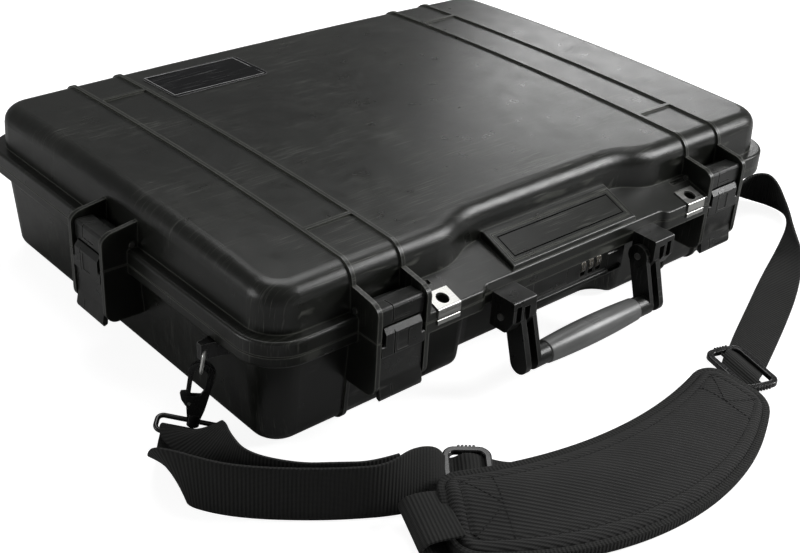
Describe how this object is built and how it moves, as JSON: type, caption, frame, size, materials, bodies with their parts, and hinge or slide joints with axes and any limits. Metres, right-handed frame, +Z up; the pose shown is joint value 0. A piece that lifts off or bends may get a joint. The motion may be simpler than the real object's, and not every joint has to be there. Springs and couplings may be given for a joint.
{
  "type": "laptop hard case",
  "caption": "Black moulded laptop hard case with hinged lid, pull-down latches, swing handle, dial lock and a clip-on shoulder strap with a pad.",
  "frame": {"origin": "middle of the case's footprint at the floor, strap left out", "axes": "+X to the right seen from the handle side, +Y from the handle side to the hinges, +Z up"},
  "size_m": [0.6344, 0.5753, 0.124],
  "materials": {
    "shell": "matte, faintly grained",
    "trim": "satin",
    "seal": "matte",
    "foam": "open-celled, matte",
    "steel": "brushed",
    "bright_wire": "polished",
    "hook_metal": "black satin",
    "dial": "satin",
    "grip": "satin",
    "webbing": "ribbed weave",
    "pad": "twill weave",
    "slider": "satin"
  },
  "bodies": {
    "base": {"base_shell": "shell", "base_foam": "foam", "handle_bracket_left": "trim", "handle_bracket_right": "trim", "handle_pins": "steel", "hinge_pin_left": "steel", "hinge_pin_right": "steel", "lock_housing": "trim", "lock_axle": "steel", "lock_blank_plate": "trim", "padlock_plate_base_left": "steel", "padlock_plate_base_right": "steel", "strap_bracket_left": "trim", "strap_bracket_right": "trim", "strap_link_left": "bright_wire", "strap_link_right": "bright_wire", "hook_body_left": "hook_metal", "hook_body_right": "hook_metal", "hook_pin_left": "hook_metal", "hook_pin_right": "hook_metal", "hook_loop_left": "hook_metal", "hook_loop_right": "hook_metal", "webbing_left": "webbing", "webbing_right": "webbing", "webbing_inner_left": "webbing", "webbing_fold": "webbing", "slider_left": "slider", "slider_right": "slider", "shoulder_pad": "pad"},
    "lid": {"lid_shell": "shell", "lid_seal": "seal", "lid_foam": "foam", "label_plate": "steel", "name_panel": "trim", "padlock_plate_lid_left": "steel", "padlock_plate_lid_right": "steel", "latch_pivot_pins": "steel"},
    "handle": {"handle_frame": "trim", "handle_grip": "grip"},
    "dial_1": {"lock_dial_1": "dial"},
    "dial_2": {"lock_dial_2": "dial"},
    "dial_3": {"lock_dial_3": "dial"},
    "button": {"lock_button": "trim"},
    "gate_left": {"hook_gate_left": "hook_metal"},
    "gate_right": {"hook_gate_right": "hook_metal"},
    "claw_front_left": {"latch_claw_front_left": "trim", "latch_pin_front_left": "steel"},
    "lever_front_left": {"latch_lever_front_left": "trim"},
    "claw_front_right": {"latch_claw_front_right": "trim", "latch_pin_front_right": "steel"},
    "lever_front_right": {"latch_lever_front_right": "trim"},
    "claw_end_left": {"latch_claw_end_left": "trim", "latch_pin_end_left": "steel"},
    "lever_end_left": {"latch_lever_end_left": "trim"},
    "claw_end_right": {"latch_claw_end_right": "trim", "latch_pin_end_right": "steel"},
    "lever_end_right": {"latch_lever_end_right": "trim"}
  },
  "joints": [
    {"name": "lid_hinge", "type": "hinge", "parent": "base", "child": "lid", "pos_m": [0, 0.20901, 0.0765], "axis": [-1, 0, 0], "range_deg": [0, 100]},
    {"name": "handle_swing", "type": "hinge", "parent": "base", "child": "handle", "pos_m": [0, -0.19619, 0.0615], "axis": [-1, 0, 0], "range_deg": [-17, 76]},
    {"name": "claw_front_left_turn", "type": "hinge", "parent": "lid", "child": "claw_front_left", "pos_m": [-0.1624, -0.16859, 0.0897], "axis": [-1, 0, 0], "range_deg": [0, 55]},
    {"name": "lever_front_left_turn", "type": "hinge", "parent": "claw_front_left", "child": "lever_front_left", "pos_m": [-0.1624, -0.18379, 0.077], "axis": [-1, 0, 0], "range_deg": [0, 75]},
    {"name": "claw_front_right_turn", "type": "hinge", "parent": "lid", "child": "claw_front_right", "pos_m": [0.1624, -0.16859, 0.0897], "axis": [-1, 0, 0], "range_deg": [0, 55]},
    {"name": "lever_front_right_turn", "type": "hinge", "parent": "claw_front_right", "child": "lever_front_right", "pos_m": [0.1624, -0.18379, 0.077], "axis": [-1, 0, 0], "range_deg": [0, 75]},
    {"name": "claw_end_left_turn", "type": "hinge", "parent": "lid", "child": "claw_end_left", "pos_m": [-0.2502, 0.00281, 0.0897], "axis": [0, 1, 0], "range_deg": [0, 55]},
    {"name": "lever_end_left_turn", "type": "hinge", "parent": "claw_end_left", "child": "lever_end_left", "pos_m": [-0.2654, 0.00281, 0.077], "axis": [0, 1, 0], "range_deg": [0, 75]},
    {"name": "claw_end_right_turn", "type": "hinge", "parent": "lid", "child": "claw_end_right", "pos_m": [0.2502, 0.00281, 0.0897], "axis": [0, -1, 0], "range_deg": [0, 55]},
    {"name": "lever_end_right_turn", "type": "hinge", "parent": "claw_end_right", "child": "lever_end_right", "pos_m": [0.2654, 0.00281, 0.077], "axis": [0, -1, 0], "range_deg": [0, 75]},
    {"name": "dial_1_turn", "type": "hinge", "parent": "base", "child": "dial_1", "pos_m": [0.014, -0.17669, 0.0606], "axis": [1, 0, 0], "continuous": true},
    {"name": "dial_2_turn", "type": "hinge", "parent": "base", "child": "dial_2", "pos_m": [0.022, -0.17669, 0.0606], "axis": [1, 0, 0], "continuous": true},
    {"name": "dial_3_turn", "type": "hinge", "parent": "base", "child": "dial_3", "pos_m": [0.03, -0.17669, 0.0606], "axis": [1, 0, 0], "continuous": true},
    {"name": "button_press", "type": "slide", "parent": "base", "child": "button", "axis": [0, 1, 0], "range_m": [0, 0.0025], "stiffness_N_per_m": 300, "springref_m": -0.002},
    {"name": "gate_right_press", "type": "hinge", "parent": "base", "child": "gate_right", "pos_m": [0.2686, -0.11219, 0.02529], "axis": [0.6671, -0.7313, 0.1418], "range_deg": [0, 20], "stiffness_Nm_per_rad": 0.02, "springref_deg": -22.92},
    {"name": "gate_left_press", "type": "hinge", "parent": "base", "child": "gate_left", "pos_m": [-0.2686, -0.11219, 0.02529], "axis": [0.6671, 0.7313, -0.1418], "range_deg": [0, 20], "stiffness_Nm_per_rad": 0.02, "springref_deg": -22.92}
  ]
}
